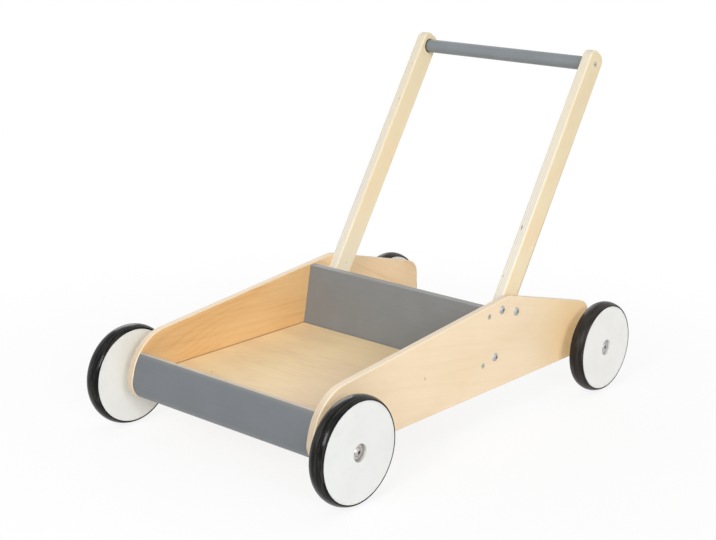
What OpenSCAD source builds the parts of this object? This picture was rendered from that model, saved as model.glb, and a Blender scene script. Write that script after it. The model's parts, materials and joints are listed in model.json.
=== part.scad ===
// Baby push walker: a tray on four wheels between two plywood sides, with a slanted push handle.
// Sizes are in millimetres. The front faces -Y, +X is the walking child's left and +Z is up.
// The origin is on the ground, under the middle of the walker's length and width.

/* [Wheels] */
// Distance between the front and rear axles
wheelbase = 474; // [420:1:540]
// Outer diameter of a front tyre
front_tyre_d = 120; // [100:0.5:140]
// Outer diameter of a rear tyre
rear_tyre_d = 114.5; // [100:0.5:140]
// Width of a wheel, disc and tyre alike
wheel_w = 19.5; // [16:0.5:28]
// Rise of the tread from its shoulders to its middle
tyre_crown = 3; // [1:0.5:5]
// Rubber around the disc at the shoulders
tyre_lip = 1.4; // [0.6:0.1:3]
// Depth of the groove around the disc that holds the tyre
rim_groove = 3; // [1:0.5:6]
// Width of the disc's rim on each side of that groove
rim_edge = 3; // [2:0.5:5]
// Gap between a side panel and a wheel
wheel_gap = 20; // [8:0.5:30]
// Diameter of the recess in the middle of a disc
hub_recess_d = 20; // [18:0.5:30]
// Depth of that recess
hub_recess_depth = 5; // [3:0.5:8]

/* [Axles] */
// Diameter of an axle rod
axle_d = 8; // [6:0.5:10]
// Wall of the bush between a disc and its axle
bush_wall = 2; // [1:0.25:3]
// Wall of the spacer sleeve between a side panel and a wheel
spacer_wall = 4; // [2:0.5:6]
// Diameter of the washer that keeps a wheel on
axle_washer_d = 16; // [13:0.5:17]
// Thickness of that washer
axle_washer_t = 1.2; // [0.8:0.1:2]
// Depth of the threaded hole in each end of an axle
axle_tap_depth = 16; // [10:1:30]

/* [Side panels] */
// Clear width between the two side panels
inner_w = 272; // [220:1:320]
// Thickness of a side panel
panel_t = 9; // [8:0.5:14]
// Depth of a side panel below the front axle
panel_drop = 18.5; // [12:0.5:30]
// Height of the top edge above the front axle
front_rise = 57.5; // [52:0.5:70]
// Reach of the nose ahead of the front axle, before its lower corner is rounded
nose_reach = 35; // [30:0.5:48]
// Lean of the nose from upright
nose_lean = 12; // [8:0.5:20]
// Radius of the nose's lower corner
nose_low_r = 22; // [10:1:24]
// Radius of the nose's upper corner
nose_top_r = 56; // [30:1:60]
// Distance from the parked bolt back to the peak of the top edge
peak_back = 15; // [12:0.5:24]
// Height of the peak above the parked bolt
peak_rise = 14.5; // [12:0.5:24]
// Radius of the peak
peak_r = 34; // [10:1:60]
// Height of the rear edge
rear_h = 64.5; // [55:0.5:85]
// Reach of a side panel behind the rear axle
rear_overhang = 18; // [10:0.5:40]
// Radius of the upper rear corner
rear_top_r = 22; // [8:1:26]
// Radius of the lower rear corner
rear_low_r = 12; // [6:1:20]

/* [Tray] */
// Thickness of the tray floor
floor_t = 6; // [5:0.5:9]
// Gap between the front axle and the underside of the floor
floor_clear = 1.5; // [1:0.25:8]
// Thickness of the tongue around the floor
tongue_t = 3.5; // [2.5:0.25:4]
// Length of the tongue that sits in the grooves
tongue_len = 4; // [2:0.5:5]
// Distance from the front axle to the foot of the back panel
tray_len = 259; // [220:1:285]
// Thickness of the back panel
back_t = 10.5; // [8:0.5:14]
// Lean of the back panel from upright
back_lean = 9.5; // [0:0.5:14]
// Distance from the side panels' top edge down to the top of the back panel
back_top_drop = 2; // [0.5:0.1:6]
// Wood left under the groove in the back panel
back_ledge = 3.5; // [2:0.5:8]
// Height of the front bar above the floor
bar_rise = 27; // [15:1:30]
// Distance from the front axle to the rear face of the front bar
bar_back = 11.5; // [8:0.5:13]
// Step from the nose of a side panel in to the front bar
bar_reveal = 0.8; // [0.2:0.1:3]

/* [Handle] */
// Thickness of a post
post_t = 13; // [10:0.5:18]
// Width of a post
post_w = 30; // [26:0.5:36]
// Lean of the posts from upright
post_lean = 31.75; // [22:0.25:38]
// Height of the lower bolt above the floor
foot_rise = 10.5; // [8:0.5:20]
// Gap between the round foot of a post and the back panel
foot_gap = 2.25; // [1:0.25:5]
// Distance along a post from its lower bolt to the handle bar
handle_reach = 383; // [320:0.5:450]
// Wood above the middle of the handle bar
post_top = 16; // [13:0.5:26]
// Radius of the corners at the top of a post
post_top_r = 11; // [2:0.5:13]
// Diameter of the handle bar
handle_d = 17; // [14:0.5:24]
// Depth of the socket in a post that takes the end of the handle bar
bar_seat = 4; // [2:0.5:6]
// Distance along a post from its lower bolt to its upper bolt
upper_bolt_along = 61.5; // [50:0.5:80]
// Distance of the upper bolt behind the middle of the post
upper_bolt_back = 9.5; // [4:0.5:9.5]
// Distance along a post from its lower bolt to the parked bolt
parked_bolt_along = 53; // [46:0.5:66]
// Distance of the parked bolt ahead of the middle of the post
parked_bolt_ahead = 20; // [18:0.5:28]

/* [Fasteners] */
// Diameter of the bolts' shanks, in the posts and in the axle ends
bolt_d = 5; // [4:0.25:6]
// Diameter of the bolts' heads
bolt_head_d = 10.5; // [9:0.25:12]
// Height of the bolts' heads
bolt_head_h = 2.4; // [1.6:0.1:3]
// Width of the hexagon socket in the bolts' heads
socket_w = 4; // [2:0.25:4]
// Depth of that socket
socket_depth = 2.1; // [0.8:0.1:2.2]
// Wall of a threaded insert around its bolt
insert_wall = 0.8; // [0.6:0.1:1]
// Wood left behind a threaded insert
insert_margin = 2; // [1:0.25:3]
// Gap between a bolt's tip and the bottom of its hole
tip_gap = 1; // [0.5:0.25:2]
// Diameter of the wood screws' shanks
screw_d = 3.5; // [3:0.25:4.5]
// Diameter of the wood screws' heads
screw_head_d = 7; // [6:0.25:8]
// Bite of a wood screw in the piece behind the one it passes through
screw_bite = 26; // [16:1:40]
// Width of the slots in a screw head
screw_slot_w = 0.9; // [0.6:0.1:1.2]
// Length of the slots in a screw head
screw_slot_len = 4.2; // [3:0.1:5]
// Depth of the slots in a screw head
screw_slot_depth = 1.1; // [0.6:0.1:1.4]
// Distance of the back panel's screws from its top, and from the floor's level
back_screw_inset = 10.5; // [8:0.5:16]
// Height of the front bar's upper screw above the front axle
bar_screw_high = 22; // [18:0.5:30]
// Depth of the front bar's lower screw below the front axle
bar_screw_low = 2; // [0:0.5:6]

/* [Clearances] */
// Radial clearance of a wheel's bush on its axle
run_gap = 0.05; // [0.02:0.01:0.1]
// Radial clearance of pieces that are fixed in each other
fit_gap = 0.05; // [0.02:0.01:0.1]
// Side play of a wheel at each face
side_play = 0.3; // [0.2:0.05:1]
// Gap around the ends of the handle bar in their sockets
seat_gap = 0.8; // [0.2:0.1:1]
// Gap around the floor and its tongue
edge_gap = 0.3; // [0.1:0.05:0.4]

/* [Hidden] */
$fn = 96;
// Depth by which a cut runs past the face that it starts from
past = 1;
arc_steps = 20;
birch = "#F0D8B2";
honey = "#DDB57E";
slate = "#7B8184";
white_paint = "#F1F1EE";
rubber = "#262627";
zinc = "#B9BDC0";
nylon = "#D8D8D2";

// Places across the walker
inner_x = inner_w / 2;
outer_x = inner_x + panel_t;
wheel_in_x = outer_x + wheel_gap;
wheel_out_x = wheel_in_x + wheel_w;
post_in_x = inner_x - post_t;
bar_end_x = post_in_x + bar_seat;
recess_x = wheel_out_x - hub_recess_depth;
axle_end_x = recess_x + side_play;

// Heights and places along the walker
front_axle_z = front_tyre_d / 2;
rear_axle_z = rear_tyre_d / 2;
front_y = -(wheelbase + rear_axle_z - front_axle_z) / 2;
rear_y = front_y + wheelbase;
panel_low_z = front_axle_z - panel_drop;
floor_low_z = front_axle_z + axle_d / 2 + floor_clear;
floor_top_z = floor_low_z + floor_t;
bar_rear_y = front_y - bar_back;
bar_top_z = floor_top_z + bar_rise;

// The back panel's faces, as places along the walker at a height
back_slope = tan(back_lean);
function back_front_y(z) = front_y + tray_len + (z - floor_top_z) * back_slope;
function back_rear_y(z) = back_front_y(z) + back_t / cos(back_lean);

// A post's own directions: along it from its lower bolt, and square to it towards the rear
foot_z = floor_top_z + foot_rise;
foot_y = back_rear_y(foot_z) + (post_w / 2 + foot_gap) / cos(back_lean);
function on_post(along, back) = [
    foot_y + along * sin(post_lean) + back * cos(post_lean),
    foot_z + along * cos(post_lean) - back * sin(post_lean)
];
lower_bolt = on_post(0, 0);
upper_bolt = on_post(upper_bolt_along, upper_bolt_back);
parked_bolt = on_post(parked_bolt_along, -parked_bolt_ahead);
handle_at = on_post(handle_reach, 0);

// The side panels' top edge rises in a straight line from over the front axle to the peak
front_top_z = front_axle_z + front_rise;
peak = parked_bolt + [peak_back, peak_rise];
top_slope = (peak[1] - front_top_z) / (peak[0] - front_y);
rear_edge_y = rear_y + rear_overhang;

// Top of the back panel's front face, where it meets the line below the side panels' top edge
back_top_z = (front_top_z - back_top_drop + top_slope * (tray_len - floor_top_z * back_slope))
    / (1 - top_slope * back_slope);
back_low_z = floor_low_z - back_ledge;

// Corners of the nose, stepped in square to its edges: [along, height, radius]
nose_slope = tan(nose_lean);
function nose_y(z, step) = front_y - nose_reach + (z - panel_low_z) * nose_slope + step / cos(nose_lean);
function nose_low(step) = [
    nose_y(panel_low_z + step, step),
    panel_low_z + step,
    nose_low_r - step
];
function nose_top_z(step) = (front_top_z
    + top_slope * (nose_y(0, step) - front_y)
    - step * sqrt(1 + top_slope * top_slope)) / (1 - top_slope * nose_slope);
function nose_top(step) = [nose_y(nose_top_z(step), step), nose_top_z(step), nose_top_r - step];

panel_corners = [
    nose_low(0),
    nose_top(0),
    [peak[0], peak[1], peak_r],
    [rear_edge_y, panel_low_z + rear_h, rear_top_r],
    [rear_edge_y, panel_low_z, rear_low_r]
];

// The tray floor's four edges, without and with the tongue
floor_x = inner_x - edge_gap;
floor_front_y = bar_rear_y + edge_gap;
floor_rear_y = back_front_y(floor_low_z) - edge_gap;
tongue_x = inner_x + tongue_len - edge_gap;
tongue_front_y = bar_rear_y - tongue_len + edge_gap;
tongue_rear_y = floor_rear_y + tongue_len;

// Fastener places, as [along, height] on the side panels
post_bolts = [lower_bolt, upper_bolt];
back_screw_low_z = floor_top_z + back_screw_inset - back_t / 2;
back_screw_high_z = back_top_z - back_screw_inset;
function back_middle_y(z) = (back_front_y(z) + back_rear_y(z)) / 2;
back_screws = [for (z = [back_screw_low_z, back_screw_high_z]) [back_middle_y(z), z]];
function bar_middle_y(z) = (nose_y(z, bar_reveal) + bar_rear_y) / 2;
bar_screws = [for (rise = [-bar_screw_low, bar_screw_high])
    [bar_middle_y(front_axle_z + rise), front_axle_z + rise]];

// Round parts of the wheels and fasteners
bush_r = axle_d / 2 + run_gap + bush_wall;
tread_r = (wheel_w * wheel_w / 4 + tyre_crown * tyre_crown) / (2 * tyre_crown);
bolt_way_r = bolt_d / 2 + fit_gap;
insert_r = bolt_way_r + insert_wall;
post_insert_len = post_t - insert_margin;
panel_insert_len = panel_t - insert_margin;
screw_cone_h = (screw_head_d - screw_d) / 2;

sides = [-1, 1];

// The axles in the side view; each lies as high as the radius of its tyres
front_axle_at = [front_y, front_axle_z];
rear_axle_at = [rear_y, rear_axle_z];
axles_at = [front_axle_at, rear_axle_at];

// Outline with rounded corners, each arc worked out from its corner and radius
function unit(v) = v / norm(v);
function flat(corner) = [corner[0], corner[1]];
function corner_arc(before, corner, after) =
    let (
        to_before = unit(flat(before) - flat(corner)),
        to_after = unit(flat(after) - flat(corner)),
        half = acos(to_before * to_after) / 2,
        middle = flat(corner) + unit(to_before + to_after) * corner[2] / sin(half),
        reach = corner[2] / tan(half),
        first = flat(corner) + to_before * reach - middle,
        last = flat(corner) + to_after * reach - middle,
        start = atan2(first[1], first[0]),
        turn = atan2(last[1], last[0]) - start,
        sweep = turn > 180 ? turn - 360 : turn < -180 ? turn + 360 : turn
    )
    [for (i = [0 : arc_steps]) let (a = start + sweep * i / arc_steps)
        middle + corner[2] * [cos(a), sin(a)]];
function rounded(corners) = [
    for (i = [0 : len(corners) - 1])
        each corners[i][2] > 0
            ? corner_arc(corners[(i + len(corners) - 1) % len(corners)], corners[i],
                corners[(i + 1) % len(corners)])
            : [flat(corners[i])]
];

// A side view, drawn as [along, height], made solid across the walker
module across(from_x, to_x) {
    translate([from_x, 0, 0]) rotate([90, 0, 90]) linear_extrude(to_x - from_x) children();
}

// Children stand on a side view's point at a place across, with their +Z pointing outwards
module facing_out(side, x, at) {
    translate([side * x, at[0], at[1]]) rotate([0, side * 90, 0]) children();
}

// A round hole across one side of the walker
module hole_across(from_x, to_x, at, r) {
    translate([from_x, at[0], at[1]]) rotate([0, 90, 0]) cylinder(r = r, h = to_x - from_x);
}

module mirrored_to(side) {
    mirror([side < 0 ? 1 : 0, 0, 0]) children();
}

// Cone under a countersunk head, its wide end at the face, with some clearance
module countersink(gap) {
    translate([0, 0, -screw_cone_h])
        cylinder(r1 = screw_d / 2 + gap, r2 = screw_head_d / 2 + gap, h = screw_cone_h);
}

// Countersunk wood screw with a cross slot, its head level with Z = 0 and its shank below
module wood_screw(length) {
    difference() {
        union() {
            countersink(0);
            translate([0, 0, -length]) cylinder(d = screw_d, h = length);
        }
        for (turn = [0, 90])
            rotate([0, 0, turn]) translate([-screw_slot_len / 2, -screw_slot_w / 2, -screw_slot_depth])
                cube([screw_slot_len, screw_slot_w, screw_slot_depth + past]);
    }
}

// The way of such a screw through the first piece, from its face down
module screw_way(depth) {
    countersink(fit_gap);
    translate([0, 0, -depth - past]) cylinder(r = screw_d / 2 + fit_gap, h = depth + past);
    cylinder(r = screw_head_d / 2 + fit_gap, h = past);
}

// The hole for such a screw's bite in the piece behind, from its face down
module screw_pilot() {
    translate([0, 0, -screw_bite]) cylinder(r = screw_d / 2 + fit_gap, h = screw_bite + past);
}

module hex_socket() {
    cylinder(d = socket_w / cos(30), h = socket_depth + past, $fn = 6);
}

// Bolt with a low domed head above Z = 0 and its shank below
module domed_bolt(length) {
    dome_r = (bolt_head_d * bolt_head_d / 4 + bolt_head_h * bolt_head_h) / (2 * bolt_head_h);
    difference() {
        union() {
            intersection() {
                translate([0, 0, bolt_head_h - dome_r]) sphere(dome_r);
                cylinder(d = bolt_head_d, h = bolt_head_h);
            }
            translate([0, 0, -length]) cylinder(d = bolt_d, h = length + bolt_head_h / 2);
        }
        translate([0, 0, bolt_head_h - socket_depth]) hex_socket();
    }
}

// Threaded insert, a tube that lies below Z = 0
module threaded_insert(length) {
    translate([0, 0, -length]) difference() {
        cylinder(r = insert_r, h = length);
        translate([0, 0, -past]) cylinder(r = bolt_way_r, h = length + 2 * past);
    }
}

// Side panels
module side_panel(side) {
    color(birch) mirrored_to(side) difference() {
        across(inner_x, outer_x) polygon(rounded(panel_corners));
        translate([inner_x - past, tongue_front_y - edge_gap, floor_low_z - edge_gap])
            cube([
                past + tongue_len,
                tongue_rear_y - tongue_front_y + 2 * edge_gap,
                tongue_t + 2 * edge_gap
            ]);
        for (at = axles_at)
            hole_across(inner_x - past, outer_x + past, at, axle_d / 2 + fit_gap);
        for (at = post_bolts)
            hole_across(inner_x - past, outer_x + past, at, bolt_way_r);
        hole_across(outer_x - panel_insert_len, outer_x + past, parked_bolt, insert_r + fit_gap);
        for (at = concat(back_screws, bar_screws))
            facing_out(1, outer_x, at) screw_way(panel_t);
    }
}

// Tray floor with a tongue all round its lower edge
module tray_floor() {
    color(honey) union() {
        translate([-floor_x, floor_front_y, floor_low_z])
            cube([2 * floor_x, floor_rear_y - floor_front_y, floor_t]);
        translate([-tongue_x, tongue_front_y, floor_low_z])
            cube([2 * tongue_x, tongue_rear_y - tongue_front_y, tongue_t]);
    }
}

// Back panel, leaning to the rear, with a level top and a groove for the floor
module back_panel() {
    front_low = [back_front_y(back_low_z), back_low_z];
    front_high = [back_front_y(back_top_z), back_top_z];
    rear_high = [back_rear_y(back_top_z), back_top_z];
    rear_low = front_low + back_t * [cos(back_lean), -sin(back_lean)];
    groove_rear_y = tongue_rear_y + edge_gap;
    color(slate) difference() {
        across(-inner_x, inner_x) polygon([front_low, front_high, rear_high, rear_low]);
        translate([-inner_x - past, groove_rear_y - 2 * tongue_len, floor_low_z - edge_gap])
            cube([inner_w + 2 * past, 2 * tongue_len, tongue_t + 2 * edge_gap]);
        for (side = sides, at = back_screws)
            facing_out(side, inner_x, at) screw_pilot();
    }
}

// Front bar, shaped as the nose of the side panels, with a groove for the floor
module front_bar() {
    run_back = 2 * nose_top_r;
    top = nose_top(bar_reveal);
    bar_corners = [
        nose_low(bar_reveal),
        top,
        [top[0] + run_back, top[1] + run_back * top_slope, 0],
        [top[0] + run_back, panel_low_z + bar_reveal, 0]
    ];
    color(slate) difference() {
        across(-inner_x, inner_x) intersection() {
            polygon(rounded(bar_corners));
            translate([bar_rear_y - 2 * nose_reach, 0]) square([2 * nose_reach, bar_top_z]);
        }
        translate([-inner_x - past, tongue_front_y - edge_gap, floor_low_z - edge_gap])
            cube([inner_w + 2 * past, tongue_len + past, tongue_t + 2 * edge_gap]);
        for (side = sides, at = bar_screws)
            facing_out(side, inner_x, at) screw_pilot();
    }
}

// Handle posts, flat against the inner faces of the side panels
module handle_post(side) {
    foot_r = post_w / 2 - fit_gap;
    post_corners = [
        for (end = [[-post_w / 2, -1, foot_r], [-post_w / 2, 1, foot_r],
                [handle_reach + post_top, 1, post_top_r], [handle_reach + post_top, -1, post_top_r]])
            let (at = on_post(end[0], end[1] * post_w / 2)) [at[0], at[1], end[2]]
    ];
    color(birch) mirrored_to(side) difference() {
        across(post_in_x, inner_x) polygon(rounded(post_corners));
        for (at = post_bolts)
            hole_across(inner_x - post_insert_len, inner_x + past, at, insert_r + fit_gap);
        hole_across(post_in_x - past, bar_end_x, handle_at, handle_d / 2 + seat_gap);
        facing_out(1, inner_x, handle_at) screw_way(post_t);
    }
}

module handle_bar() {
    color(slate) difference() {
        hole_across(-bar_end_x, bar_end_x, handle_at, handle_d / 2);
        for (side = sides)
            facing_out(side, bar_end_x, handle_at) screw_pilot();
    }
}

// Fasteners of the frame
module handle_bar_screws() {
    color(zinc) for (side = sides)
        facing_out(side, inner_x, handle_at) wood_screw(inner_x - bar_end_x + screw_bite);
}

module handle_bolts() {
    color(zinc) for (side = sides, at = post_bolts)
        facing_out(side, outer_x, at) domed_bolt(panel_t + post_insert_len - tip_gap);
}

module parked_bolts() {
    color(zinc) for (side = sides)
        facing_out(side, outer_x, parked_bolt) domed_bolt(panel_insert_len - tip_gap);
}

module threaded_inserts() {
    color(zinc) for (side = sides) {
        for (at = post_bolts) facing_out(side, inner_x, at) threaded_insert(post_insert_len);
        facing_out(side, outer_x, parked_bolt) threaded_insert(panel_insert_len);
    }
}

module back_panel_screws() {
    color(zinc) for (side = sides, at = back_screws)
        facing_out(side, outer_x, at) wood_screw(panel_t + screw_bite);
}

module front_bar_screws() {
    color(zinc) for (side = sides, at = bar_screws)
        facing_out(side, outer_x, at) wood_screw(panel_t + screw_bite);
}

// Axles and what they carry
module axle(at) {
    color(zinc) difference() {
        hole_across(-axle_end_x, axle_end_x, at, axle_d / 2);
        for (side = sides)
            facing_out(side, axle_end_x - axle_tap_depth, at)
                cylinder(r = bolt_way_r, h = axle_tap_depth + past);
    }
}

module axle_spacers() {
    bore_r = axle_d / 2 + fit_gap;
    color(nylon) for (side = sides, at = axles_at)
        facing_out(side, outer_x, at) difference() {
            cylinder(r = bore_r + spacer_wall, h = wheel_gap - side_play);
            translate([0, 0, -past]) cylinder(r = bore_r, h = wheel_gap + 2 * past);
        }
}

module axle_washers() {
    color(zinc) for (side = sides, at = axles_at)
        facing_out(side, axle_end_x, at) difference() {
            cylinder(d = axle_washer_d, h = axle_washer_t);
            translate([0, 0, -past]) cylinder(r = bolt_way_r, h = axle_washer_t + 2 * past);
        }
}

module axle_end_screws() {
    color(zinc) for (side = sides, at = axles_at)
        facing_out(side, axle_end_x + axle_washer_t, at) domed_bolt(axle_tap_depth);
}

// Wheels, each a disc with a tyre in its rim and a bush in its middle
module at_wheel(side, at) {
    facing_out(side, wheel_in_x, at) children();
}

// Radius of the disc in a wheel on an axle
function rim_r(at) = at[1] - tyre_crown - tyre_lip;

// Half section of a disc's rim with the groove for the tyre, stepped out by a clearance
module rim_section(r, gap) {
    square([r - rim_groove + gap, wheel_w]);
    for (low = [0, wheel_w - rim_edge - gap]) translate([0, low]) square([r + gap, rim_edge + gap]);
}

module wheel_disc(side, at) {
    color(white_paint) at_wheel(side, at) difference() {
        rotate_extrude() rim_section(rim_r(at), 0);
        translate([0, 0, -past]) cylinder(r = bush_r + fit_gap, h = wheel_w + 2 * past);
        translate([0, 0, wheel_w - hub_recess_depth])
            cylinder(d = hub_recess_d, h = hub_recess_depth + past);
    }
}

module tyre(side, at) {
    color(rubber) at_wheel(side, at) rotate_extrude() difference() {
        intersection() {
            translate([at[1] - tread_r, wheel_w / 2]) circle(tread_r);
            translate([rim_r(at) - rim_groove, 0])
                square([rim_groove + tyre_lip + 2 * tyre_crown, wheel_w]);
        }
        rim_section(rim_r(at), fit_gap);
    }
}

module bush(side, at) {
    color(nylon) at_wheel(side, at) difference() {
        cylinder(r = bush_r, h = wheel_w - hub_recess_depth);
        translate([0, 0, -past]) cylinder(r = axle_d / 2 + run_gap, h = wheel_w + 2 * past);
    }
}

side_panel(1);  // left_side_panel
side_panel(-1);  // right_side_panel
tray_floor();
back_panel();
front_bar();
handle_post(1);  // left_handle_post
handle_post(-1);  // right_handle_post
handle_bar();
handle_bar_screws();
handle_bolts();
parked_bolts();
threaded_inserts();
back_panel_screws();
front_bar_screws();
axle(front_axle_at);  // front_axle
axle(rear_axle_at);  // rear_axle
axle_spacers();
axle_washers();
axle_end_screws();
wheel_disc(1, front_axle_at);  // front_left_disc
tyre(1, front_axle_at);  // front_left_tyre
bush(1, front_axle_at);  // front_left_bush
wheel_disc(-1, front_axle_at);  // front_right_disc
tyre(-1, front_axle_at);  // front_right_tyre
bush(-1, front_axle_at);  // front_right_bush
wheel_disc(1, rear_axle_at);  // rear_left_disc
tyre(1, rear_axle_at);  // rear_left_tyre
bush(1, rear_axle_at);  // rear_left_bush
wheel_disc(-1, rear_axle_at);  // rear_right_disc
tyre(-1, rear_axle_at);  // rear_right_tyre
bush(-1, rear_axle_at);  // rear_right_bush
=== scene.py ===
"""Looks of the push walker: finishes, softened edges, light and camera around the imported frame."""
import json
import math

import bmesh
import bpy
import numpy as np
from mathutils import Matrix, Vector


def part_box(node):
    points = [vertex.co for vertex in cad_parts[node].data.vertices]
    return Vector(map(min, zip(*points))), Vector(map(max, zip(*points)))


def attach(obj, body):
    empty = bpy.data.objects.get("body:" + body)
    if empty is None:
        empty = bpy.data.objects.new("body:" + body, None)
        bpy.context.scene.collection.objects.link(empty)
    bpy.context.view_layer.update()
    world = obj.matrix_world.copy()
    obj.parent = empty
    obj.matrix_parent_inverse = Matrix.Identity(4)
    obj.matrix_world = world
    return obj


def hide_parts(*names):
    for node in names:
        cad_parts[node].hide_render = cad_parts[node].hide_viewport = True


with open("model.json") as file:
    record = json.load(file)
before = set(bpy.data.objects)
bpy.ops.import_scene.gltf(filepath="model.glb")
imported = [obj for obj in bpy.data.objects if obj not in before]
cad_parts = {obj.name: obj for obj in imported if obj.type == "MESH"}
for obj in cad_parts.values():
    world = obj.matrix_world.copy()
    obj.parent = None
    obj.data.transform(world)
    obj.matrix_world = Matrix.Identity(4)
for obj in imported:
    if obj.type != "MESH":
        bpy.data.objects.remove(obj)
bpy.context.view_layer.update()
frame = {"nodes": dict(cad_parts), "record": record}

MM = 0.001
nodes = frame["nodes"]
bodies = frame["record"]["behaviour"]["bodies"]
node_body = {node: body for body, names in bodies.items() for node in names}

# Colours of the wood, as linear red, green and blue
OUTER_PALE = (0.93, 0.755, 0.53)
OUTER_DEEP = (0.86, 0.655, 0.42)
OUTER_YELLOW_AND_LIGHT = (0.99, 0.74, 0.42)
INNER_PALE = (0.88, 0.59, 0.29)
INNER_DEEP = (0.75, 0.435, 0.177)
REAR_PALE = (0.96, 0.73, 0.465)
REAR_DEEP = (0.85, 0.575, 0.315)
POST_PALE = (0.89, 0.765, 0.505)
# The posts' foot tone is painted light and their top tone painted shade.
POST_FOOT_LIGHT = (0.97, 0.88, 0.67)
POST_DEEP = (0.90, 0.67, 0.41)
POST_TOP_SHADE = (0.74, 0.64, 0.43)
POST_INNER_LIT = (0.98, 0.82, 0.55)
FLOOR_PALE = (0.89, 0.70, 0.415)
FLOOR_DEEP = (0.75, 0.555, 0.34)
# The floor's grey is a painted shadow tone for its side next to the near panel.
FLOOR_SHADOW_GREY = (0.68, 0.53, 0.39)
PANEL_PLIES = ((0.845, 0.72, 0.555), (0.71, 0.575, 0.415))
POST_PLIES = ((0.785, 0.75, 0.665), (0.65, 0.61, 0.515))
SANDED_ARRIS_AND_HIGHLIGHT = (0.95, 0.85, 0.68)
GLUE_LINE = (0.50, 0.36, 0.22)
JOINT_LINE = (0.30, 0.155, 0.06)
END_GRAIN = (0.50, 0.39, 0.28)
WOOD_MARK = (0.10, 0.06, 0.03)

# Colours of paint, rubber, metal and nylon
BAR_SLATE = (0.138, 0.151, 0.162)
# The back panel's slate is the bar's paint made lighter, as painted light.
BACK_SLATE_LIT = (0.199, 0.2115, 0.2185)
DOWEL_SLATE = (0.197, 0.218, 0.231)
# The paint's pale top tone is partly wear and partly painted light on the tops.
WORN_AND_LIT_TOP = (0.63, 0.535, 0.415)
SOCKET_SHADE = (0.035, 0.037, 0.040)
WHITE = (0.82, 0.832, 0.81)
# The rear discs' white is the front's made lighter, as painted light.
REAR_WHITE_LIT = (0.875, 0.872, 0.847)
WHITE_SOILED = (0.62, 0.60, 0.55)
# The front hubs' darker bore is painted shade in the recess.
SHADED_BORE = (0.54, 0.51, 0.46)
PALE_BORE = (0.80, 0.81, 0.80)
# Dark tone for deep recesses: grime and painted shade.
GRIME_AND_SHADE = (0.045, 0.040, 0.036)
RUBBER = (0.002, 0.002, 0.0021)
RUBBER_DUSTY = (0.045, 0.0425, 0.0395)
# The rear tyres' warmer, lighter tones are partly dust and partly a painted sheen of the wooden panel.
REAR_RUBBER_WITH_SHEEN = (0.0165, 0.0142, 0.0125)
REAR_RUBBER_DUST_AND_SHEEN = (0.064, 0.054, 0.047)
ZINC = (0.53, 0.535, 0.54)
ZINC_DULL = (0.38, 0.385, 0.39)
NICKEL = (0.62, 0.60, 0.595)
NICKEL_DULL = (0.43, 0.415, 0.41)
PASSIVATED = (0.66, 0.65, 0.54)
PASSIVATED_DULL = (0.46, 0.45, 0.36)
STEEL = (0.50, 0.51, 0.52)
STEEL_DULL = (0.43, 0.43, 0.43)
NYLON = (0.76, 0.75, 0.70)
NYLON_DULL = (0.69, 0.675, 0.63)


def scaled(values, factor):
    """A colour or a place with each of its values times one factor."""
    return tuple(value * factor for value in values)


# Directions that the grain follows, with angles in degrees
ACROSS = Vector((1, 0, 0))
UPWARD = Vector((0, 0, 1))
POST_LEAN = 31.75
OUTER_FALL = 11
INNER_FALL = 3
REAR_FALL = 24


def falling(angle):
    """Direction towards the rear that falls by an angle in degrees."""
    return Vector((0, math.cos(math.radians(angle)), -math.sin(math.radians(angle))))


POST_RUN = falling(POST_LEAN - 90)
OUTER_RUN = falling(OUTER_FALL)
INNER_RUN = falling(INNER_FALL)
REAR_BEND = math.tan(math.radians(REAR_FALL))

# Places that the finishes follow, from the frame
panel_low, panel_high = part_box("left_side_panel")
post_low, post_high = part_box("left_handle_post")
back_low, back_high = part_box("back_panel")
floor_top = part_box("tray_floor")[1].z


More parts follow.
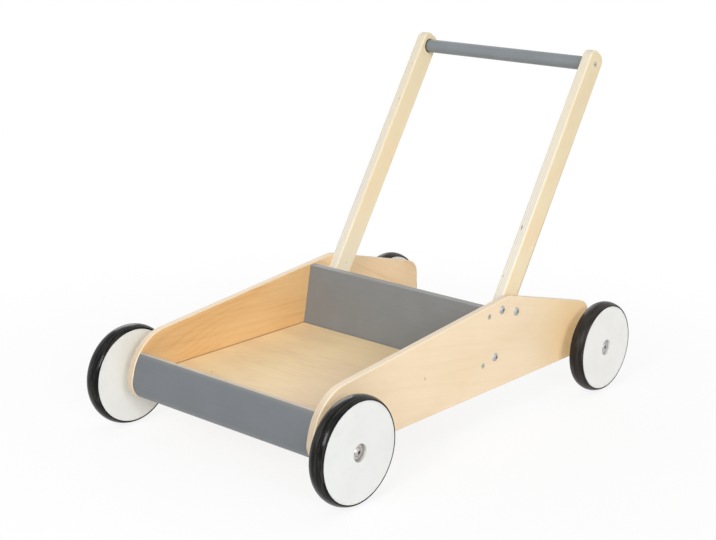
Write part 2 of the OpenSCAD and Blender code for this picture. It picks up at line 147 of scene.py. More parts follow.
class Finish:
    """One material's node tree, with short calls for the nodes that the finishes share."""

    def __init__(self, name):
        self.material = bpy.data.materials.new(name)
        self.material.use_nodes = True
        self.tree = self.material.node_tree
        self.surface = self.tree.nodes["Principled BSDF"]
        coordinates = self.node("ShaderNodeTexCoord").outputs
        self.place = coordinates["Object"]
        self.normal = coordinates["Normal"]

    def node(self, kind, inputs=None, **settings):
        made = self.tree.nodes.new(kind)
        for key, value in settings.items():
            setattr(made, key, value)
        for key, value in (inputs or {}).items():
            self.feed(made.inputs[key], value)
        return made

    def feed(self, socket, value):
        if isinstance(value, bpy.types.NodeSocket):
            self.tree.links.new(value, socket)
        elif isinstance(value, tuple) and len(value) == 3 and socket.type == "RGBA":
            socket.default_value = (*value, 1)
        else:
            socket.default_value = value

    def set(self, **inputs):
        for key, value in inputs.items():
            self.feed(self.surface.inputs[key.replace("_", " ")], value)

    def math(self, operation, first, second=0.0, clamp=False):
        made = self.node("ShaderNodeMath", {0: first, 1: second}, operation=operation, use_clamp=clamp)
        return made.outputs[0]

    def times(self, *values):
        product = values[0]
        for value in values[1:]:
            product = self.math("MULTIPLY", product, value)
        return product

    def total(self, *values):
        result = values[0]
        for value in values[1:]:
            result = self.math("ADD", result, value)
        return result

    def vector(self, operation, first, second=(0, 0, 0)):
        made = self.node("ShaderNodeVectorMath", {0: first, 1: second}, operation=operation)
        return made.outputs["Value" if operation in ("LENGTH", "DOT_PRODUCT") else "Vector"]

    def split(self, vector):
        made = self.node("ShaderNodeSeparateXYZ", {0: vector})
        return made.outputs[0], made.outputs[1], made.outputs[2]

    def join(self, x, y, z):
        return self.node("ShaderNodeCombineXYZ", {0: x, 1: y, 2: z}).outputs[0]

    def ramp(self, value, start, end):
        """0 at start and 1 at end, with a smooth step between."""
        rising = start < end
        made = self.node(
            "ShaderNodeMapRange",
            {"Value": value, "From Min": min(start, end), "From Max": max(start, end),
             "To Min": 0.0 if rising else 1.0, "To Max": 1.0 if rising else 0.0},
            interpolation_type="SMOOTHSTEP",
        )
        return made.outputs["Result"]

    def between(self, value, low, high):
        """A factor from 0 to 1 spread over the range from low to high."""
        made = self.node("ShaderNodeMapRange",
                         {"Value": value, "From Min": 0.0, "From Max": 1.0, "To Min": low, "To Max": high})
        return made.outputs["Result"]

    def mix(self, factor, first, second, share=1.0):
        """The first colour, with a share of the second where the factor is 1."""
        if share != 1.0:
            factor = self.times(factor, share)
        made = self.node("ShaderNodeMix", {0: factor, 6: first, 7: second}, data_type="RGBA")
        return made.outputs[2]

    def noise(self, vector, scale=1.0, detail=2.0, roughness=0.5, fourth=None):
        inputs = {"Vector": vector, "Scale": scale, "Detail": detail, "Roughness": roughness}
        dimensions = "3D"
        if fourth is not None:
            inputs["W"] = fourth
            dimensions = "4D"
        return self.node("ShaderNodeTexNoise", inputs, noise_dimensions=dimensions).outputs["Fac"]

    def stretched_noise(self, grain, along, across, detail, roughness=0.55):
        """Noise whose features are drawn out along the grain."""
        stretched = self.vector("MULTIPLY", grain, (along, across, across))
        return self.noise(stretched, detail=detail, roughness=roughness)

    def bump(self, height, strength, distance, below=None):
        inputs = {"Height": height, "Strength": strength, "Distance": distance}
        if below is not None:
            inputs["Normal"] = below
        return self.node("ShaderNodeBump", inputs).outputs["Normal"]

    def grain_space(self, face, run):
        """Places turned so that X runs along the grain and Z stands on the face."""
        turn = Matrix((run, face.cross(run), face)).to_euler()
        return self.node("ShaderNodeMapping", {"Vector": self.place, "Rotation": tuple(turn)}).outputs[0]

    def hollow(self, reach, open_share, closed_share):
        """1 deep in a piece's own recesses and 0 where it lies open, from what stands within reach."""
        shelter = self.node("ShaderNodeAmbientOcclusion", {"Distance": reach}, only_local=True, samples=8)
        return self.ramp(shelter.outputs["AO"], start=open_share, end=closed_share)

    def marked(self, colour, marks):
        """Darkens small ovals, as pin knots and gaps in a ply do."""
        for at, half_size, strength in marks:
            apart = self.vector("SUBTRACT", self.place, scaled(at, MM))
            shares = self.vector("DIVIDE", apart, scaled(half_size, MM))
            inside = self.ramp(self.vector("LENGTH", shares), start=1.0, end=0.55)
            colour = self.mix(inside, colour, WOOD_MARK, share=strength)
        return colour


# Veneer: how close its features lie, per metre along and across the grain, and how strong they are
WIDE_PATCHES = (9.0, 20.0)
SMALL_PATCHES = (22.0, 45.0)
SOFT_RINGS = -0.1
CRISP_RINGS = 0.30
RING_TURNS = 190.0
NOISE_MIDDLE = 0.5
FIBRE_TONE = 0.30
FLECK_DARKNESS = 0.66


def veneer(finish, grain, pale, deep, rings, streaks, blotches,
           patches=WIDE_PATCHES, ring_start=SOFT_RINGS):
    """Colour of a veneer face, with the height of its fibres and its streaks."""
    growth = finish.stretched_noise(grain, along=1.7, across=9.0, detail=1.0)
    ring = finish.ramp(finish.math("SINE", finish.times(growth, RING_TURNS)), start=ring_start, end=1.0)
    blotch = finish.ramp(finish.stretched_noise(grain, *patches, detail=3.0), start=0.32, end=0.70)
    streak = finish.stretched_noise(grain, along=6.0, across=170.0, detail=4.0, roughness=0.6)
    fibre = finish.stretched_noise(grain, along=70.0, across=1500.0, detail=2.0, roughness=0.6)
    fleck = finish.stretched_noise(grain, along=110.0, across=1400.0, detail=1.0, roughness=0.4)
    depth = finish.total(
        finish.times(blotch, blotches),
        finish.times(ring, finish.ramp(blotch, start=0.0, end=0.9), rings),
        finish.times(finish.ramp(streak, start=0.38, end=0.75), streaks),
        finish.times(finish.math("SUBTRACT", fibre, NOISE_MIDDLE), FIBRE_TONE),
    )
    colour = finish.mix(finish.math("ADD", depth, 0.0, clamp=True), pale, deep)
    flecked = finish.ramp(fleck, start=0.64, end=0.78)
    return finish.mix(flecked, colour, scaled(deep, FLECK_DARKNESS), share=0.20), fibre, streak


# Plywood: its layers, where glue lies from the middle of one ply to the next, and shares of other tones
PANEL_LAYERS = 7
POST_LAYERS = 9
GLUE_AT = 0.5
# The front ends' far larger share of end-grain tone is painted shade where they face the front.
FRONT_END_AND_SHADE_SHARE = 0.68
REAR_END_SHARE = 0.15
POST_INNER_LIT_SHARE = 0.55


def ply_edge(finish, offset, thickness, layers, plies):
    """Colour of a sawn plywood edge, from the distance across the sheet in metres."""
    ply = finish.math("PINGPONG", finish.math("DIVIDE", offset, thickness / layers), 1.0)
    colour = finish.mix(finish.ramp(ply, start=0.35, end=0.65), *plies, share=0.75)
    from_glue = finish.math("ABSOLUTE", finish.math("SUBTRACT", ply, GLUE_AT))
    colour = finish.mix(finish.ramp(from_glue, start=0.12, end=0.02), colour, GLUE_LINE, share=0.22)
    speckle = finish.noise(finish.place, scale=900.0, detail=2.0, roughness=0.6)
    return finish.mix(finish.ramp(speckle, start=0.50, end=0.75), colour, GLUE_LINE, share=0.14)


def sheet_wood(finish, faces, box, layers, plies, run):
    """Colour of a plywood sheet that stands across X, from its outer and inner faces' colours."""
    low, high = box
    normal_x = finish.split(finish.normal)[0]
    place_x = finish.split(finish.place)[0]
    outward = finish.times(normal_x, finish.math("SIGN", place_x))
    face = finish.mix(finish.ramp(outward, start=0.3, end=-0.3), *faces)
    offset = finish.math("SUBTRACT", finish.math("ABSOLUTE", place_x), low.x)
    edge = ply_edge(finish, offset, high.x - low.x, layers, plies)
    along = finish.vector("DOT_PRODUCT", finish.normal, tuple(run))
    # Darker end grain on the ends; the front ends far darker, as painted shade where they face the front.
    end_grain = finish.total(finish.times(finish.ramp(along, start=-0.35, end=-0.95), FRONT_END_AND_SHADE_SHARE),
                             finish.times(finish.ramp(along, start=0.35, end=0.95), REAR_END_SHARE))
    edge = finish.mix(end_grain, edge, END_GRAIN)
    facing = finish.math("ABSOLUTE", normal_x)
    return finish.mix(finish.ramp(facing, start=0.80, end=0.45), face, edge)


def sanded_arris_and_highlight(finish, colour):
    """Paler wood on the rounded edges of a sheet that stands across X: partly sanded veneer, partly painted
    highlight.
    """
    facing = finish.math("ABSOLUTE", finish.split(finish.normal)[0])
    off_face = finish.ramp(facing, start=0.97, end=0.80)
    off_edge = finish.ramp(facing, start=0.15, end=0.50)
    # Paler on the rounded edges: partly sanded veneer, partly a painted highlight.
    return finish.mix(finish.times(off_face, off_edge), colour, SANDED_ARRIS_AND_HIGHLIGHT, share=0.40)


def lacquer(finish, colour, fibre, streak):
    """Thin satin lacquer over wood, in which the fibres still show."""
    finish.set(
        Base_Color=colour,
        Roughness=finish.between(streak, low=0.40, high=0.58),
        Specular_IOR_Level=0.35,
        Normal=finish.bump(fibre, strength=0.16, distance=0.25 * MM),
    )
    return finish.material


# Where the wood's tone and its painted light and shade change, in metres of the frame
YELLOW_FROM_Y = 110 * MM
YELLOW_TO_Y = 215 * MM
REAR_BLEND = 20 * MM
POST_FOOT_Z = 130 * MM
POST_FOOT_END_Z = 240 * MM
POST_TOP_SHADE_FROM_Z = 190 * MM
POST_TOP_SHADE_TO_Z = 400 * MM
FLOOR_SHADOW_FROM_X = -40 * MM
FLOOR_SHADOW_TO_X = 140 * MM
PANEL_JOINT_DARK = 0.3 * MM
PANEL_JOINT_END = 1.1 * MM
FLOOR_JOINT_DARK = 0.8 * MM
FLOOR_JOINT_END = 2.2 * MM

# Natural marks in the wood: place and half size in millimetres, and strength
PANEL_MARKS = (
    ((145.0, -80.6, 90.3), (2.0, 1.1, 2.4), 0.50),
    ((145.0, -77.6, 88.6), (2.0, 0.8, 1.4), 0.38),
)
POST_MARKS = (
    ((127.5, 123.6, 224.2), (0.9, 3.0, 4.6), 0.95),
    ((126.0, 90.3, 170.5), (0.7, 1.4, 2.2), 0.70),
    ((-127.6, 224.1, 386.7), (0.8, 1.4, 2.0), 0.60),
    ((-126.2, 197.2, 343.1), (0.8, 2.2, 3.4), 0.75),
    ((-123.0, 90.7, 139.8), (2.0, 1.2, 1.2), 0.50),
)
FLOOR_MARKS = (
    ((-84.2, -188.7, 71.5), (1.6, 1.4, 2.0), 0.55),
    ((-81.0, -185.7, 71.5), (1.2, 1.0, 2.0), 0.40),
)


def panel_plywood(name):
    """Side panel: pale outside, honey inside, pinker where the grain falls away behind the tray; the honey
    is partly painted shade and warm bounce.
    """
    finish = Finish(name)
    place_y, place_z = finish.split(finish.place)[1:]
    outer = finish.grain_space(ACROSS, OUTER_RUN)
    outer_colour, fibre, streak = veneer(finish, outer, OUTER_PALE, OUTER_DEEP,
                                         rings=0.12, streaks=0.22, blotches=0.35)
    # Yellower towards the rear end: partly wood tone, partly painted light that lifts the rear wheel's
    # shade on the panel.
    rear_yellow_and_light = finish.ramp(place_y, start=YELLOW_FROM_Y, end=YELLOW_TO_Y)
    outer_colour = finish.mix(rear_yellow_and_light, outer_colour, OUTER_YELLOW_AND_LIGHT, share=0.80)
    run, rise, depth = finish.split(finish.grain_space(ACROSS, INNER_RUN))
    past = finish.math("MAXIMUM", finish.math("SUBTRACT", run, back_low.y), 0.0)
    inner = finish.join(run, finish.math("ADD", rise, finish.times(past, REAR_BEND)), depth)
    # Deeper honey in the tray: partly the veneer's tone, partly painted shade and warm bounce light from
    # the tray.
    tray_colour = veneer(finish, inner, INNER_PALE, INNER_DEEP,
                         rings=0.26, streaks=0.42, blotches=0.40, ring_start=CRISP_RINGS)[0]
    rear_colour = veneer(finish, inner, REAR_PALE, REAR_DEEP,
                         rings=0.42, streaks=0.36, blotches=0.30, ring_start=CRISP_RINGS)[0]
    joint = finish.ramp(place_z, start=floor_top + PANEL_JOINT_END, end=floor_top + PANEL_JOINT_DARK)
    tray_colour = finish.mix(joint, tray_colour, JOINT_LINE, share=0.6)
    behind = finish.ramp(place_y, start=back_low.y, end=back_high.y + REAR_BLEND)
    inner_colour = finish.mix(behind, tray_colour, rear_colour)
    colour = sheet_wood(finish, (outer_colour, inner_colour), (panel_low, panel_high), PANEL_LAYERS,
                        PANEL_PLIES, INNER_RUN)
    colour = finish.marked(sanded_arris_and_highlight(finish, colour), PANEL_MARKS)
    return lacquer(finish, colour, fibre, streak)


def post_plywood(name):
    """Handle post: cream veneer with soft orange blotches, many thin plies on its edges, painted paler at
    the foot and darker at the top as light and shade.
    """
    finish = Finish(name)
    place_z = finish.split(finish.place)[2]
    grain = finish.grain_space(ACROSS, POST_RUN)
    outer, fibre, streak = veneer(finish, grain, POST_PALE, POST_DEEP,
                                  rings=0.10, streaks=0.15, blotches=0.55, patches=SMALL_PATCHES)
    # Painted light: paler towards the foot of the post.
    painted_foot_light = finish.ramp(place_z, start=POST_FOOT_END_Z, end=POST_FOOT_Z)
    # The posts' inner faces are a lighter copy of the veneer, as painted light.
    inner = finish.mix(POST_INNER_LIT_SHARE, outer, POST_INNER_LIT)
    inner = finish.mix(painted_foot_light, inner, POST_FOOT_LIGHT, share=0.75)
    colour = sheet_wood(finish, (outer, inner), (post_low, post_high), POST_LAYERS, POST_PLIES, POST_RUN)
    colour = finish.marked(colour, POST_MARKS)
    # Painted shade: darker towards the top of the post.
    painted_top_shade = finish.ramp(place_z, start=POST_TOP_SHADE_FROM_Z, end=POST_TOP_SHADE_TO_Z)
    colour = finish.mix(painted_top_shade, colour, POST_TOP_SHADE, share=0.45)
    colour = finish.mix(painted_foot_light, colour, POST_FOOT_LIGHT, share=0.25)
    return lacquer(finish, colour, fibre, streak)


def tray_wood(name):
    """Tray floor: grain across the walker, a dark line at its joints with the panels, and painted shadow
    towards +X.
    """
    finish = Finish(name)
    place_x = finish.split(finish.place)[0]
    grain = finish.grain_space(UPWARD, ACROSS)
    colour, fibre, streak = veneer(finish, grain, FLOOR_PALE, FLOOR_DEEP,
                                   rings=0.14, streaks=0.24, blotches=0.50)
    # Painted shadow: the floor turns greyer and darker towards +X, where the near panel shades it.
    painted_shadow = finish.ramp(place_x, start=FLOOR_SHADOW_FROM_X, end=FLOOR_SHADOW_TO_X)
    colour = finish.mix(painted_shadow, colour, FLOOR_SHADOW_GREY, share=0.55)
    joint = finish.ramp(finish.math("ABSOLUTE", place_x),
                        start=panel_low.x - FLOOR_JOINT_END, end=panel_low.x - FLOOR_JOINT_DARK)
    colour = finish.mix(joint, colour, JOINT_LINE, share=0.70)
    colour = finish.marked(colour, FLOOR_MARKS)
    facing = finish.math("ABSOLUTE", finish.split(finish.normal)[2])
    colour = finish.mix(finish.ramp(facing, start=0.82, end=0.60), colour, PANEL_PLIES[1])
    return lacquer(finish, colour, fibre, streak)


# Paint: shares of its colour and of its wear with painted light on tops, the spread of its roughness, and
# the socket shade
MOTTLE_PALER = 1.08
LINE_DARKER = 0.84
NIB_PALER = 1.5
LEAST_WEAR_AND_LIGHT = 0.7
MOST_WEAR_AND_LIGHT = 1.2
PAINT_SPREAD = 0.06
SHADE_DARK = 0.9 * MM
SHADE_END = 1.9 * MM


def paint(name, colour, roughness, wear_and_top_light=0.0, socket_x=None):
    """Satin paint on wood: roller stipple, grain that shows through, mottling, and a paler top, partly
    rubbed and partly painted light.
    """
    finish = Finish(name)
    grain = finish.grain_space(UPWARD, ACROSS)
    mottle = finish.noise(finish.place, scale=26.0, detail=4.0, roughness=0.6)
    lines = finish.stretched_noise(grain, along=9.0, across=260.0, detail=3.0, roughness=0.6)
    nib = finish.noise(finish.place, scale=420.0, detail=1.0, roughness=0.4)
    stipple = finish.noise(finish.place, scale=1300.0, detail=2.0, roughness=0.55)
    tone = finish.mix(finish.ramp(mottle, start=0.25, end=0.75), colour, scaled(colour, MOTTLE_PALER))
    lined = finish.ramp(lines, start=0.50, end=0.72)
    tone = finish.mix(lined, tone, scaled(colour, LINE_DARKER), share=0.18)
    tone = finish.mix(finish.ramp(nib, start=0.72, end=0.80), tone, scaled(colour, NIB_PALER), share=0.25)
    # Paler where faces point up: partly rubbed paint, partly painted light and sheen on the tops.
    upward = finish.split(finish.normal)[2]
    rubbed_and_lit_top = finish.times(finish.ramp(upward, start=0.50, end=0.93),
                          finish.between(mottle, low=LEAST_WEAR_AND_LIGHT * wear_and_top_light, high=MOST_WEAR_AND_LIGHT * wear_and_top_light))
    tone = finish.mix(rubbed_and_lit_top, tone, WORN_AND_LIT_TOP)
    if socket_x is not None:
        from_middle = finish.math("ABSOLUTE", finish.split(finish.place)[0])
        shaded = finish.ramp(from_middle, start=socket_x - SHADE_END, end=socket_x - SHADE_DARK)
        tone = finish.mix(shaded, tone, SOCKET_SHADE)
    under = finish.bump(lines, strength=0.10, distance=0.20 * MM)
    finish.set(
        Base_Color=tone,
        Roughness=finish.between(mottle, low=roughness - PAINT_SPREAD, high=roughness + PAINT_SPREAD),
        Specular_IOR_Level=0.40,
        Normal=finish.bump(stipple, strength=0.10, distance=0.12 * MM, below=under),
    )
    return finish.material


class Wheel:
    """Where one end's wheels turn and how large they are, from a tyre's box."""

    def __init__(self, end):
        low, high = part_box(end + "_left_tyre")
        self.axle_y = (low.y + high.y) / 2
        self.axle_z = (low.z + high.z) / 2
        self.tyre_r = (high.z - low.z) / 2

    def polar(self, finish):
        """Distance from the axle, the way out from it in Y and Z, and the place along it."""
        x, y, z = finish.split(finish.place)
        forward = finish.math("SUBTRACT", y, self.axle_y)
        upward = finish.math("SUBTRACT", z, self.axle_z)
        squares = finish.total(finish.times(forward, forward), finish.times(upward, upward))
        radius = finish.math("SQRT", squares)
        return radius, finish.math("DIVIDE", forward, radius), finish.math("DIVIDE", upward, radius), x


# Wheels: the tyre's depth over the disc, soil inside the rim, the hub's recess, streaks and tones
TYRE_DEPTH = 4.4 * MM
SOIL_REACH = 3.0 * MM
HUB_OUTSIDE_R = 10.6 * MM
HUB_INSIDE_R = 9.6 * MM
STREAKS_ROUND = 2.4
STREAKS_ACROSS = 420.0
STREAK_SPREAD = 0.12
WHITE_DULLER = 0.972


def white_disc(name, wheel, white, bore):
    """Sprayed white paint with a trace of soil towards the rim, and painted shade in the hub: a darker bore
    on the front wheels and grime with shade deep in the recess.
    """
    finish = Finish(name)
    radius = wheel.polar(finish)[0]
    mottle = finish.noise(finish.place, scale=45.0, detail=4.0, roughness=0.6)
    peel = finish.noise(finish.place, scale=520.0, detail=2.0, roughness=0.5)
    speck = finish.noise(finish.place, scale=610.0, detail=1.0, roughness=0.4)
    rim_r = wheel.tyre_r - TYRE_DEPTH
    rim = finish.ramp(radius, start=rim_r - SOIL_REACH, end=rim_r)
    soil = finish.times(rim, finish.between(mottle, low=0.0, high=0.5))
    hub = finish.ramp(radius, start=HUB_OUTSIDE_R, end=HUB_INSIDE_R)
    # Darker deep in the hub's recess: grime and painted shade.
    recess = finish.hollow(reach=7.0 * MM, open_share=0.80, closed_share=0.30)
    tone = finish.mix(finish.ramp(mottle, start=0.35, end=0.70), white, scaled(white, WHITE_DULLER))
    tone = finish.mix(soil, tone, WHITE_SOILED)
    # The hub's bore tone; on the front wheels darker, as painted shade in the recess.
    tone = finish.mix(hub, tone, bore)
    tone = finish.mix(finish.times(recess, hub), tone, GRIME_AND_SHADE, share=0.50)
    tone = finish.mix(finish.ramp(speck, start=0.755, end=0.80), tone, WHITE_SOILED, share=0.30)
    finish.set(
        Base_Color=tone,
        Roughness=finish.between(mottle, low=0.36, high=0.48),
        Specular_IOR_Level=0.40,
        Normal=finish.bump(peel, strength=0.06, distance=0.12 * MM),
    )
    return finish.material


def tyre_rubber(name, wheel, black, dust_and_sheen, polish):
    """Moulded black rubber: fine texture, rubbed streaks round the tread and a little dust, warmer and
    lighter on the rear tyres as a painted sheen.
    """
    finish = Finish(name)
    radius, out_y, out_z, x = wheel.polar(finish)
    round_space = finish.join(finish.times(out_y, STREAKS_ROUND), finish.times(out_z, STREAKS_ROUND),
                              finish.times(x, STREAKS_ACROSS))
    outward = finish.times(radius, STREAKS_ACROSS)
    streak = finish.noise(round_space, detail=4.0, roughness=0.65, fourth=outward)
    pebble = finish.noise(finish.place, scale=1500.0, detail=2.0, roughness=0.6)
    cloud = finish.noise(finish.place, scale=38.0, detail=4.0, roughness=0.6)
    # Dust on the tyres; on the rear tyres its warm tone is also a painted sheen.
    dust_and_sheen_share = finish.times(finish.between(cloud, low=0.1, high=1.2), finish.ramp(streak, start=0.42, end=0.66))
    under = finish.bump(streak, strength=0.35, distance=0.45 * MM)
    finish.set(
        Base_Color=finish.mix(dust_and_sheen_share, black, dust_and_sheen),
        Roughness=finish.total(finish.between(streak, low=polish, high=polish + STREAK_SPREAD),
                               finish.between(cloud, low=0.0, high=0.10)),
        Specular_IOR_Level=0.14,
        Normal=finish.bump(pebble, strength=0.12, distance=0.10 * MM, below=under),
    )
    return finish.material


# Metal: dirt and painted shade in an old socket, and how far a patch is smoother or rougher than the rest
DIRT_AND_SHADE = 0.72
PATCH_SMOOTHER = 0.08
PATCH_ROUGHER = 0.12


def metal(name, bright, dull, roughness, socket_dirt_and_shade=DIRT_AND_SHADE):
    """Plated or drawn metal with fine lines along X, dull patches, and dirt and painted shade in its
    recesses.
    """
    finish = Finish(name)
    grain = finish.grain_space(UPWARD, ACROSS)
    lines = finish.stretched_noise(grain, along=60.0, across=2600.0, detail=2.0, roughness=0.6)
    patch = finish.noise(finish.place, scale=480.0, detail=3.0, roughness=0.6)
    # Darker deep in the piece's own recesses: dirt and painted shade.
    socket = finish.hollow(reach=2.5 * MM, open_share=0.80, closed_share=0.40)
    tone = finish.mix(finish.ramp(patch, start=0.40, end=0.75), bright, dull)
    finish.set(
        Base_Color=finish.mix(socket, tone, GRIME_AND_SHADE, share=socket_dirt_and_shade),
        Metallic=1.0,
        Roughness=finish.between(patch, low=roughness - PATCH_SMOOTHER, high=roughness + PATCH_ROUGHER),
        Normal=finish.bump(lines, strength=0.08, distance=0.05 * MM),
    )
    return finish.material


def nylon(name):
    """Natural nylon with faint turning lines and a waxy spread of tone."""
    finish = Finish(name)
    cloud = finish.noise(finish.place, scale=160.0, detail=3.0, roughness=0.55)
    lines = finish.stretched_noise(finish.place, along=2400.0, across=40.0, detail=2.0, roughness=0.5)
    finish.set(
        Base_Color=finish.mix(finish.ramp(cloud, start=0.35, end=0.75), NYLON, NYLON_DULL),
        Roughness=finish.between(cloud, low=0.42, high=0.58),
        Specular_IOR_Level=0.45,
        Normal=finish.bump(lines, strength=0.10, distance=0.06 * MM),
    )
    return finish.material


# Finish of each CAD node
panel_ply = panel_plywood("birch_panel")
post_ply = post_plywood("birch_post")
zinc_plate = metal("zinc_plate", ZINC, ZINC_DULL, roughness=0.60, socket_dirt_and_shade=0.06)
passivated = metal("passivated_screws", PASSIVATED, PASSIVATED_DULL, roughness=0.52, socket_dirt_and_shade=0.10)
nickel_plate = metal("nickel_plate", NICKEL, NICKEL_DULL, roughness=0.34)
drawn_steel = metal("drawn_axle_steel", STEEL, STEEL_DULL, roughness=0.30)
natural_nylon = nylon("natural_nylon")

finishes = {
    "left_side_panel": panel_ply, "right_side_panel": panel_ply,
    "left_handle_post": post_ply, "right_handle_post": post_ply,
    "tray_floor": tray_wood("birch_tray"),
    "front_bar": paint("slate_bar_paint", BAR_SLATE, roughness=0.42, wear_and_top_light=0.75),
    "back_panel": paint("slate_back_paint", BACK_SLATE_LIT, roughness=0.48, wear_and_top_light=0.16),
    "handle_bar": paint("slate_dowel_paint", DOWEL_SLATE, roughness=0.42, socket_x=post_low.x),
    "front_axle": drawn_steel, "rear_axle": drawn_steel, "axle_spacers": natural_nylon,
    "axle_end_screws": nickel_plate, "axle_washers": nickel_plate,
    "handle_bolts": zinc_plate, "parked_bolts": zinc_plate, "threaded_inserts": zinc_plate,
    "back_panel_screws": passivated, "front_bar_screws": passivated, "handle_bar_screws": passivated,
}
FRONT_POLISH = 0.05
REAR_POLISH = 0.22
# Per end: the rear's white and rubber carry painted light and sheen, the front's bore painted shade.
for end, white, bore, black, dust_and_sheen, polish in (
        ("front", WHITE, SHADED_BORE, RUBBER, RUBBER_DUSTY, FRONT_POLISH),
        ("rear", REAR_WHITE_LIT, PALE_BORE, REAR_RUBBER_WITH_SHEEN, REAR_RUBBER_DUST_AND_SHEEN, REAR_POLISH)):
    wheel = Wheel(end)
    disc_paint = white_disc("white_disc_paint_" + end, wheel, white, bore)
    rubber = tyre_rubber("black_tyre_rubber_" + end, wheel, black, dust_and_sheen, polish)
    for side in ("left", "right"):
        finishes[f"{end}_{side}_disc"] = disc_paint
        finishes[f"{end}_{side}_tyre"] = rubber
        finishes[f"{end}_{side}_bush"] = natural_nylon

for name, node in nodes.items():
    node.data.materials.clear()
    node.data.materials.append(finishes[name])

# Softened edges: limits for the mesh work, with angles in degrees
SMOOTH_ANGLE = 38
FLAT_ANGLE = 0.2
SHARP_ANGLE = 25
SAME_WAY = 0.99
ROUND_PROFILE = 0.5
WELD = 0.001 * MM
SLIVER = 0.01 * MM
HULL_SLACK = 0.02 * MM


def hull_faces(form):
    """Faces that no point of the piece lies in front of, as a set of face indices."""
    points = np.array([v.co for v in form.verts])
    normals = np.array([f.normal for f in form.faces])
    bases = np.array([f.verts[0].co for f in form.faces])
    ahead = (normals @ points.T).max(1) - (normals * bases).sum(1)
    return {i for i in range(len(bases)) if ahead[i] < HULL_SLACK}


def even_normals(mesh):
    """Shades each corner by the faces round it that its own face runs smoothly into, by area."""
    smooth_share = math.cos(math.radians(SMOOTH_ANGLE))
    faces_at = {}
    for face in mesh.polygons:
        for vertex in face.vertices:
            faces_at.setdefault(vertex, []).append(face)
    normals = []
    for face in mesh.polygons:
        for vertex in face.vertices:
            smooth = [f for f in faces_at[vertex] if f.normal.dot(face.normal) > smooth_share]
            normals.append(sum((f.normal * f.area for f in smooth), Vector()).normalized())
    mesh.normals_split_custom_set(normals)


def soften(node, width, segments=4, only_along=None):
    """A copy of a CAD node with its outer edges rounded, which stands for it."""
    form = bmesh.new()
    form.from_mesh(nodes[node].data)
    bmesh.ops.remove_doubles(form, verts=form.verts, dist=WELD)
    bmesh.ops.dissolve_limit(form, angle_limit=math.radians(FLAT_ANGLE), verts=form.verts, edges=form.edges)
    form.normal_update()
    form.faces.index_update()
    outside = hull_faces(form)
    chosen = []
    for edge in form.edges:
        if len(edge.link_faces) != 2 or not all(f.index in outside for f in edge.link_faces):
            continue
        if edge.calc_face_angle() < math.radians(SHARP_ANGLE):
            continue
        run = (edge.verts[1].co - edge.verts[0].co).normalized()
        if only_along is None or abs(run.dot(only_along)) > SAME_WAY:
            chosen.append(edge)
    bmesh.ops.bevel(form, geom=chosen, offset=width, offset_type="OFFSET", segments=segments,
                    profile=ROUND_PROFILE, affect="EDGES", clamp_overlap=False)
    bmesh.ops.dissolve_degenerate(form, dist=SLIVER, edges=form.edges)
    for face in form.faces:
        face.smooth = True
    mesh = bpy.data.meshes.new(node + "_finish")
    form.to_mesh(mesh)
    form.free()
    even_normals(mesh)
    piece = bpy.data.objects.new(node + "_finish", mesh)
    bpy.context.scene.collection.objects.link(piece)
    mesh.materials.append(finishes[node])
    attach(piece, node_body[node])
    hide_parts(node)


for side in ("left", "right"):
    soften(side + "_side_panel", width=1.6 * MM)
    soften(side + "_handle_post", width=2.2 * MM)
soften("tray_floor", width=0.5 * MM, segments=3)
soften("back_panel", width=1.3 * MM, only_along=ACROSS)
soften("front_bar", width=2.5 * MM, only_along=ACROSS)
for name in list(nodes):
    if name.endswith(("_disc", "_tyre")):
        soften(name, width=0.6 * MM, segments=3)

# Camera at the photograph's viewing angle, in millimetres and degrees
VIEW_AZIMUTH = 40.797
VIEW_ELEVATION = 15.629
VIEW_ROLL = 0.668
VIEW_TARGET = Vector((39.0, -73.7, 194.4))
VIEW_DISTANCE = 1696.8
VIEW_LENS = 74.528
SENSOR_WIDTH = 36.0
FARTHEST_M = 60.0

azimuth, elevation, roll = (math.radians(v) for v in (VIEW_AZIMUTH, VIEW_ELEVATION, VIEW_ROLL))
back = Vector((math.sin(azimuth) * math.cos(elevation), -math.cos(azimuth) * math.cos(elevation),
               math.sin(elevation)))
right = Vector((math.cos(azimuth), math.sin(azimuth), 0))
upper = back.cross(right)
image_x = math.cos(roll) * right + math.sin(roll) * upper
image_y = -math.sin(roll) * right + math.cos(roll) * upper
camera_data = bpy.data.cameras.new("photo_camera")
camera_data.lens = VIEW_LENS
camera_data.sensor_width = SENSOR_WIDTH
camera_data.clip_end = FARTHEST_M
camera = bpy.data.objects.new("photo_camera", camera_data)
camera.matrix_world = Matrix.LocRotScale((VIEW_TARGET + back * VIEW_DISTANCE) * MM,
                                         Matrix((image_x, image_y, back)).transposed(), None)
bpy.context.scene.collection.objects.link(camera)
bpy.context.scene.camera = camera

# Plain pale floor, white to the camera with the object's shadow on it, in metres
FLOOR_HALF = 25.0
FLOOR_DROP = 0.2 * MM
FLOOR_PALE_GREY = (0.93, 0.93, 0.93)
WHITE_NEAR = 0.85
WHITE_FAR = 1.0
NEAR_REACH = 0.30
FAR_REACH = 0.80
floor_mesh = bpy.data.meshes.new("studio_floor")
floor_mesh.from_pydata([(-FLOOR_HALF, -FLOOR_HALF, 0), (FLOOR_HALF, -FLOOR_HALF, 0),
                        (FLOOR_HALF, FLOOR_HALF, 0), (-FLOOR_HALF, FLOOR_HALF, 0)], [], [(0, 1, 2, 3)])
studio_floor = bpy.data.objects.new("studio_floor", floor_mesh)
studio_floor.location.z = -FLOOR_DROP
bpy.context.scene.collection.objects.link(studio_floor)


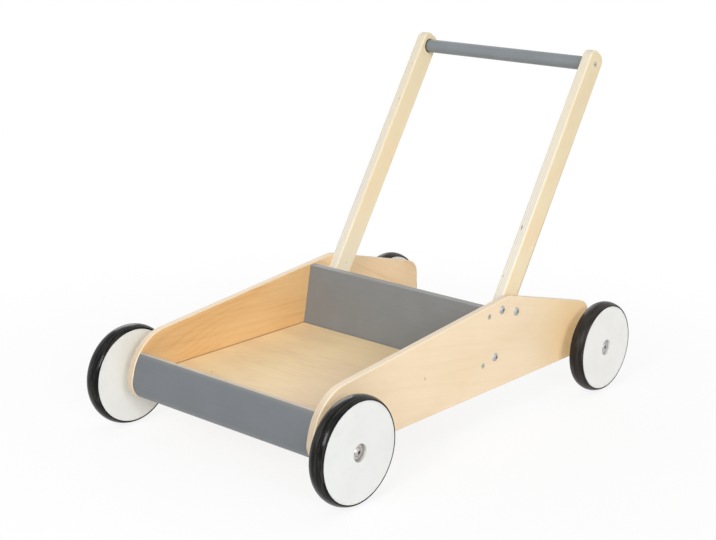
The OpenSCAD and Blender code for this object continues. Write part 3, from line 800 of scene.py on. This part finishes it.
def seen_ray(tree):
    """1 for rays that show a background: from the camera, in gloss and through glass."""
    path = tree.nodes.new("ShaderNodeLightPath")
    seen = path.outputs["Is Camera Ray"]
    for ray in ("Is Glossy Ray", "Is Transmission Ray"):
        largest = tree.nodes.new("ShaderNodeMath")
        largest.operation = "MAXIMUM"
        tree.links.new(seen, largest.inputs[0])
        tree.links.new(path.outputs[ray], largest.inputs[1])
        seen = largest.outputs[0]
    return seen


floor_finish = Finish("studio_floor")
floor_tree = floor_finish.tree
floor_tree.nodes.remove(floor_finish.surface)
distance = floor_finish.vector("LENGTH", floor_finish.place)
far = floor_finish.ramp(distance, start=NEAR_REACH, end=FAR_REACH)
glow_share = floor_finish.between(far, low=WHITE_NEAR, high=WHITE_FAR)
floor_matt = floor_finish.node("ShaderNodeBsdfDiffuse", {"Color": FLOOR_PALE_GREY})
floor_glow = floor_finish.node("ShaderNodeEmission", {"Strength": 1.0})
glow = floor_finish.times(glow_share, seen_ray(floor_tree))
floor_mix = floor_finish.node("ShaderNodeMixShader",
                              {0: glow, 1: floor_matt.outputs[0], 2: floor_glow.outputs[0]})
floor_tree.links.new(floor_mix.outputs[0], floor_tree.nodes["Material Output"].inputs["Surface"])
floor_mesh.materials.append(floor_finish.material)

# Soft studio light, in metres: an even white room and four soft boxes
ROOM_WHITE = (1, 1, 1, 1)
ROOM_LEVEL = 0.475
SEEN_LEVEL = 1.0
LIGHT_AIM = Vector((0, 0, 0.15))
world = bpy.data.worlds.new("studio_room")
bpy.context.scene.world = world
world.use_nodes = True
room = world.node_tree.nodes["Background"]
room.inputs["Color"].default_value = ROOM_WHITE
room_level = world.node_tree.nodes.new("ShaderNodeMapRange")
room_level.inputs["To Min"].default_value = ROOM_LEVEL
room_level.inputs["To Max"].default_value = SEEN_LEVEL
world.node_tree.links.new(seen_ray(world.node_tree), room_level.inputs["Value"])
world.node_tree.links.new(room_level.outputs["Result"], room.inputs["Strength"])


def soft_box(name, towards, distance, width, height, level):
    """An area light whose level is the share of white that it gives a surface facing it."""
    data = bpy.data.lights.new(name, "AREA")
    data.shape = "RECTANGLE"
    data.size = width
    data.size_y = height
    data.energy = level * math.pi ** 2 * distance ** 2
    lamp = bpy.data.objects.new(name, data)
    way = Vector(towards).normalized()
    lamp.matrix_world = Matrix.LocRotScale(LIGHT_AIM + way * distance, way.to_track_quat("Z", "Y"), None)
    bpy.context.scene.collection.objects.link(lamp)


soft_box("key_box", towards=(0.20, -0.87, 0.45), distance=2.4, width=0.56, height=0.85, level=0.42)
soft_box("side_box", towards=(0.86, -0.46, 0.42), distance=8.0, width=2.6, height=2.6, level=0.355)
soft_box("top_box", towards=(0.05, 0.10, 1.0), distance=2.6, width=2.0, height=2.0, level=0.04)
soft_box("fill_box", towards=(-0.80, 0.55, 0.45), distance=6.0, width=2.6, height=2.6, level=0.15)

bpy.context.scene.view_settings.view_transform = "Standard"
